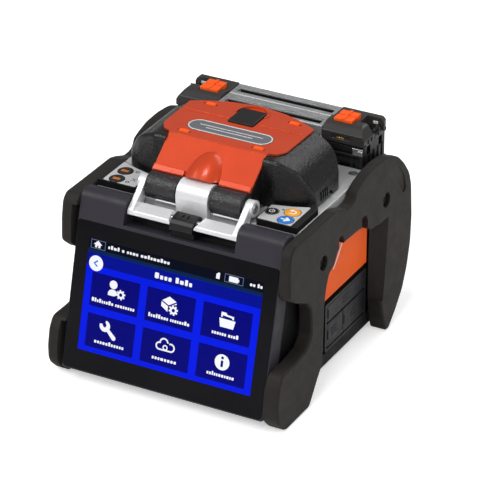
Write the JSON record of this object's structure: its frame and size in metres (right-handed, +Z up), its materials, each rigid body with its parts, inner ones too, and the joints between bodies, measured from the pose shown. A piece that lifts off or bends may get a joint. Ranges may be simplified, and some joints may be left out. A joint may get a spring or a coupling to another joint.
{
  "type": "fiber fusion splicer",
  "caption": "Portable fibre fusion splicer: domed wind hood, tilting touch monitor on a pivoting support, keypads, tube heater with hinged lids, rear battery and rubber bumper frames.",
  "frame": {"origin": "on the bench plane, at the centre of the footprint", "axes": "+X to the operator's right, +Y away from the operator, +Z up"},
  "size_m": [0.1498, 0.1728, 0.1362],
  "materials": {
    "bumper_rubber": "matte moulded",
    "black_plastic": "fine texture",
    "case_plastic": "fine texture",
    "orange_cover": "satin",
    "orange_plastic": "satin",
    "silver_cast": "satin",
    "steel": "machined",
    "brass": "machined",
    "hood_skin": "soft touch with fine speckle",
    "label_grey": "printed foil",
    "key_black": "satin",
    "key_yellow": "satin",
    "key_blue": "satin",
    "nameplate_grey": "brushed",
    "monitor_plastic": "satin",
    "front_glass": "polished",
    "display": "lit panel",
    "heater_plate": "brushed",
    "ceramic": "ground",
    "tungsten": "ground",
    "board": "solder mask",
    "door_plastic": "fine texture"
  },
  "bodies": {
    "chassis": {"lower_tray": "case_plastic", "tripod_insert": "brass", "tray_screws": "steel", "main_case": "case_plastic", "side_panels": "orange_cover", "port_bezel": "black_plastic", "port_door_pins": "steel", "connector_module": "black_plastic", "left_bumper": "bumper_rubber", "right_bumper": "bumper_rubber", "bumper_screws": "steel", "top_deck": "silver_cast", "deck_screws": "steel", "hinge_bracket": "silver_cast", "hinge_shaft": "steel", "keypad_housings": "black_plastic", "keypad_labels": "label_grey", "heater_housing": "black_plastic", "heater_elements": "heater_plate", "heater_hinge_pins": "steel", "splice_unit_base": "silver_cast", "v_groove_blocks": "ceramic", "electrodes": "tungsten", "electrode_clamps": "black_plastic", "camera_modules": "black_plastic", "feed_motors": "steel", "main_board": "board"},
    "hood": {"hood_shell": "hood_skin", "hood_knuckles": "black_plastic", "hood_cover": "orange_cover", "nameplate": "nameplate_grey", "finger_tab": "black_plastic", "hood_lamps": "ceramic"},
    "support": {"monitor_arms": "silver_cast", "tilt_rod": "steel"},
    "monitor": {"monitor_front_frame": "monitor_plastic", "monitor_rear_case": "monitor_plastic", "touch_glass": "front_glass", "display_panel": "display", "monitor_knuckle": "black_plastic"},
    "front_lid": {"front_heater_lid": "heater_plate", "front_lid_ends": "black_plastic", "front_lid_tabs": "orange_plastic"},
    "rear_lid": {"rear_heater_lid": "heater_plate", "rear_lid_ends": "black_plastic", "rear_lid_tabs": "orange_plastic"},
    "upper_door": {"upper_port_door": "door_plastic"},
    "front_door": {"front_port_door": "door_plastic"},
    "rear_door": {"rear_port_door": "door_plastic"},
    "power_key": {"power_button": "key_black"},
    "confirm_key": {"confirm_button": "key_blue"},
    "cancel_key": {"cancel_button": "key_yellow"},
    "front_heater_key": {"front_heater_button": "key_black"},
    "rear_heater_key": {"rear_heater_button": "key_black"},
    "right_stage": {"right_fiber_stage": "steel"},
    "left_stage": {"left_fiber_stage": "steel"},
    "right_clamp": {"right_sheath_clamp": "black_plastic"},
    "left_clamp": {"left_sheath_clamp": "black_plastic"},
    "battery": {"battery_pack": "case_plastic"},
    "latch": {"battery_latch": "orange_plastic"}
  },
  "joints": [
    {"name": "hood_hinge", "type": "hinge", "parent": "chassis", "child": "hood", "pos_m": [0, -0.04106, 0.1125], "axis": [1, 0, 0], "range_deg": [0, 95]},
    {"name": "support_pivot", "type": "hinge", "parent": "chassis", "child": "support", "pos_m": [0, -0.04106, 0.1125], "axis": [1, 0, 0], "range_deg": [-60, 0]},
    {"name": "monitor_tilt", "type": "hinge", "parent": "support", "child": "monitor", "pos_m": [0, -0.05506, 0.1027], "axis": [1, 0, 0], "range_deg": [-60, 0]},
    {"name": "front_heater_lid_hinge", "type": "hinge", "parent": "chassis", "child": "front_lid", "pos_m": [0, 0.04434, 0.1196], "axis": [1, 0, 0], "range_deg": [0, 90]},
    {"name": "rear_heater_lid_hinge", "type": "hinge", "parent": "chassis", "child": "rear_lid", "pos_m": [0, 0.07054, 0.1196], "axis": [1, 0, 0], "range_deg": [-90, 0]},
    {"name": "upper_door_hinge", "type": "hinge", "parent": "chassis", "child": "upper_door", "pos_m": [0.0637, 0.01634, 0.0312], "axis": [0, 1, 0], "range_deg": [0, 90]},
    {"name": "front_door_hinge", "type": "hinge", "parent": "chassis", "child": "front_door", "pos_m": [0.0637, 0.00244, 0.015], "axis": [0, 1, 0], "range_deg": [0, 90]},
    {"name": "rear_door_hinge", "type": "hinge", "parent": "chassis", "child": "rear_door", "pos_m": [0.0637, 0.02664, 0.015], "axis": [0, 1, 0], "range_deg": [0, 90]},
    {"name": "right_stage_feed", "type": "slide", "parent": "chassis", "child": "right_stage", "axis": [1, 0, 0], "range_m": [-0.0012, 0.0012]},
    {"name": "left_stage_feed", "type": "slide", "parent": "chassis", "child": "left_stage", "axis": [-1, 0, 0], "range_m": [-0.0012, 0.0012]},
    {"name": "right_clamp_hinge", "type": "hinge", "parent": "right_stage", "child": "right_clamp", "pos_m": [0.0245, 0.01164, 0.1092], "axis": [1, 0, 0], "range_deg": [-75, 0]},
    {"name": "left_clamp_hinge", "type": "hinge", "parent": "left_stage", "child": "left_clamp", "pos_m": [-0.0245, 0.01164, 0.1092], "axis": [1, 0, 0], "range_deg": [-75, 0]},
    {"name": "battery_slide", "type": "slide", "parent": "chassis", "child": "battery", "axis": [0, 1, 0], "range_m": [0, 0.08]},
    {"name": "latch_slide", "type": "slide", "parent": "battery", "child": "latch", "axis": [0, 0, 1], "range_m": [0, 0.0035]},
    {"name": "power_key_press", "type": "slide", "parent": "chassis", "child": "power_key", "axis": [0, 0, 1], "range_m": [-0.0008, 0]},
    {"name": "confirm_key_press", "type": "slide", "parent": "chassis", "child": "confirm_key", "axis": [0, 0, 1], "range_m": [-0.0008, 0]},
    {"name": "cancel_key_press", "type": "slide", "parent": "chassis", "child": "cancel_key", "axis": [0, 0, 1], "range_m": [-0.0008, 0]},
    {"name": "front_heater_key_press", "type": "slide", "parent": "chassis", "child": "front_heater_key", "axis": [0, 0, 1], "range_m": [-0.0008, 0]},
    {"name": "rear_heater_key_press", "type": "slide", "parent": "chassis", "child": "rear_heater_key", "axis": [0, 0, 1], "range_m": [-0.0008, 0]}
  ]
}
